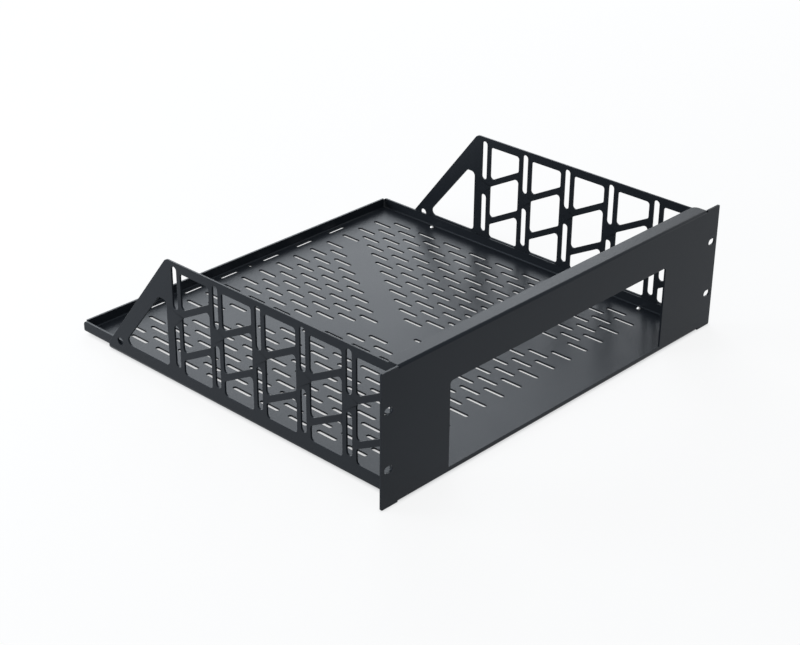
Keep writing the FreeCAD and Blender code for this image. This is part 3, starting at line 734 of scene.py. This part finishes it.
def turned_rivet():
    """One set rivet, its tail cut off flush below, turned from half of its section."""
    dome = rivet_high.z - floor_top
    crown_round = (RIVET_HEAD_RADIUS ** 2 + dome ** 2) / (2 * dome)
    half_spread = math.asin(RIVET_HEAD_RADIUS / crown_round)
    section = [(0.0, 0.0), (RIVET_SHANK_RADIUS, 0.0), (RIVET_SHANK_RADIUS, floor_top),
               (RIVET_HEAD_RADIUS, floor_top)]
    for step in range(1, DOME_STEPS + 1):
        lean = half_spread * (1 - step / DOME_STEPS)
        section.append((crown_round * math.sin(lean),
                        floor_top + dome - crown_round * (1 - math.cos(lean))))
    lathe = bmesh.new()
    profile = [lathe.verts.new((reach, 0, height)) for reach, height in section]
    for first, second in zip(profile, profile[1:]):
        lathe.edges.new((first, second))
    bmesh.ops.spin(lathe, geom=lathe.verts[:] + lathe.edges[:], cent=(0, 0, 0), axis=(0, 0, 1),
                   angle=math.tau, steps=HOLE_STEPS, use_merge=True)
    weld(lathe)
    bmesh.ops.recalc_face_normals(lathe, faces=lathe.faces)
    for face in lathe.faces:
        face.smooth = face.calc_center_median().z > floor_top + WELD_REACH
    mesh = bpy.data.meshes.new("one_rivet")
    lathe.to_mesh(mesh)
    lathe.free()
    return put_in_scene("one_rivet", mesh)


one_rivet = turned_rivet()
spots = [(across, back, 0) for across in (-rivet_across, rivet_across) for back in rivet_rows]
spot_mesh = bpy.data.meshes.new("rivet_spots")
spot_mesh.from_pydata(spots, [], [])
rivets = put_in_scene("bright_rivets", spot_mesh)
aluminium = bare_aluminium("bare_aluminium")
riveting = Bench("riveting", {"Rivet size": 1.0})
pattern = riveting.add("GeometryNodeObjectInfo", None, {"Object": one_rivet}, "Geometry")
set_rivets = riveting.add("GeometryNodeInstanceOnPoints", None, {
    "Points": riveting["Geometry"], "Instance": pattern, "Scale": riveting["Rivet size"]})
set_rivets = riveting.add("GeometryNodeRealizeInstances", None, {"Geometry": set_rivets})
riveting.finish(riveting.add("GeometryNodeSetMaterial", None, {
    "Geometry": set_rivets, "Material": aluminium}), rivets)
settle(rivets)
bpy.data.objects.remove(one_rivet)
paint(rivets, aluminium)
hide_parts("rivets")
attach(rivets, "root")


# ---------------------------------------------------------------- studio
# A white floor that keeps the shelf's shadow, with a painted contact shade dimming its glow where
# the shelf covers it closely, a white surround, and three soft lamps: a large one behind on the
# right, whose sheen lies on the tray, a small low one behind on the left, and a weak one overhead.

FLOOR_SIZE = 16.0
PAINTED_SHADE_REACH = 4 * MM
# The glow the floor shows: full where open, and lower where the shelf covers it, a painted contact
# shade.
FLOOR_GLOW_OPEN = (0.87, 0.87, 0.87, 1.0)
FLOOR_GLOW_PAINTED_SHADE = (0.46, 0.46, 0.46, 1.0)
# The floor's diffuse colour, raised where the shelf covers it, so that lamp light through the vents
# shows there.
FLOOR_OPEN = (0.16, 0.16, 0.16, 1.0)
FLOOR_COVERED = (0.60, 0.60, 0.60, 1.0)
FLOOR_BOUNCE = (0.45, 0.45, 0.45, 1.0)
SURROUND = (0.86, 0.93, 1.0, 1.0)
SURROUND_STRENGTH = 0.42
SURROUND_SEEN = (1.0, 1.0, 1.0, 1.0)
FLOOR_DROP = 0.3 * MM
COOL_WHITE = (0.92, 0.96, 1.0)


def is_seen(board):
    """1 for what is seen straight, in a reflection or through glass, and otherwise 0."""
    seen = board.add("ShaderNodeLightPath", None, None, "Is Camera Ray")
    mirrored = board.add("ShaderNodeLightPath", None, None, "Is Glossy Ray")
    through = board.add("ShaderNodeLightPath", None, None, "Is Transmission Ray")
    return seen + mirrored + through


def white_floor():
    """Shows white, keeps the shadow, and bounces a plain light back onto the shelf.

    Its glow is dimmed where the shelf covers it closely: a painted contact shade.
    """
    board = Board(bpy.data.materials.new("white_floor"))
    # Ambient occlusion paints a contact shade into the glow where the shelf covers the floor
    # closely.
    clear = board.add("ShaderNodeAmbientOcclusion", {"samples": 8},
                      {"Distance": PAINTED_SHADE_REACH}, "AO")
    glow = board.add("ShaderNodeEmission", None, {
        "Color": board.blend(clear, FLOOR_GLOW_PAINTED_SHADE, FLOOR_GLOW_OPEN)})
    shade = board.add("ShaderNodeBsdfDiffuse", None, {
        "Color": board.blend(clear, FLOOR_COVERED, FLOOR_OPEN)})
    bounce = board.add("ShaderNodeBsdfDiffuse", None, {"Color": FLOOR_BOUNCE})
    shown = board.add("ShaderNodeAddShader", None, [glow, shade])
    surface = board.add("ShaderNodeMixShader", None, [is_seen(board), bounce, shown])
    board.add("ShaderNodeOutputMaterial", None, {"Surface": surface})
    return board.owner


half_floor = FLOOR_SIZE / 2
ground_mesh = bpy.data.meshes.new("studio_floor")
ground_mesh.from_pydata([(side * half_floor, end * half_floor, -FLOOR_DROP)
                         for side, end in ((-1, -1), (1, -1), (1, 1), (-1, 1))],
                        [], [(0, 1, 2, 3)])
ground = put_in_scene("studio_floor", ground_mesh)
paint(ground, white_floor())


def soft_lamp(name, place, target, width, power):
    """A square, slightly cool lamp turned towards a target."""
    light = bpy.data.lights.new(name, "AREA")
    light.color = COOL_WHITE
    light.size = width
    light.energy = power
    lamp = put_in_scene(name, light)
    lamp.location = place
    lamp.rotation_euler = (Vector(target) - Vector(place)).to_track_quat("-Z", "Y").to_euler()


soft_lamp("rear_lamp", place=(1.92, 2.27, 1.38), target=(0.0, 0.0, 0.0), width=2.1, power=43.5)
soft_lamp("left_lamp", place=(-0.95, 0.95, 0.38), target=(-0.2, 0.1, 0.0), width=0.7, power=8.0)
soft_lamp("overhead_lamp", place=(-0.3, 0.2, 2.4), target=(0.0, 0.0, 0.0), width=1.4, power=6.0)

bpy.context.scene.world = bpy.data.worlds.new("white_surround")
sky = Board(bpy.context.scene.world)
shown_sky = sky.add("ShaderNodeBackground", None, {"Color": SURROUND_SEEN})
lighting = sky.add("ShaderNodeBackground", None, {
    "Color": SURROUND, "Strength": SURROUND_STRENGTH})
mixed_sky = sky.add("ShaderNodeMixShader", None, [is_seen(sky), lighting, shown_sky])
sky.add("ShaderNodeOutputWorld", None, {"Surface": mixed_sky})


# ---------------------------------------------------------------- camera
# The shelf is seen from the left of its front and from above, through a long lens and with
# everything in focus.

LENS_LENGTH = 79.262
CAMERA_PLACE = (-1.14285, -1.08746, 0.83175)
CAMERA_TURNS = (62.52, -0.43, -46.52)

lens = bpy.data.cameras.new("camera")
lens.lens = LENS_LENGTH
camera = put_in_scene("camera", lens)
camera.location = CAMERA_PLACE
camera.rotation_euler = [math.radians(turn) for turn in CAMERA_TURNS]
bpy.context.scene.camera = camera
bpy.context.scene.view_settings.view_transform = "Standard"


# ---------------------------------------------------------------- sizes
# A way to write a box's corners as lists of numbers, in metres.


def plain(box):
    """A box as lists of numbers."""
    return [[float(value) for value in corner] for corner in box]
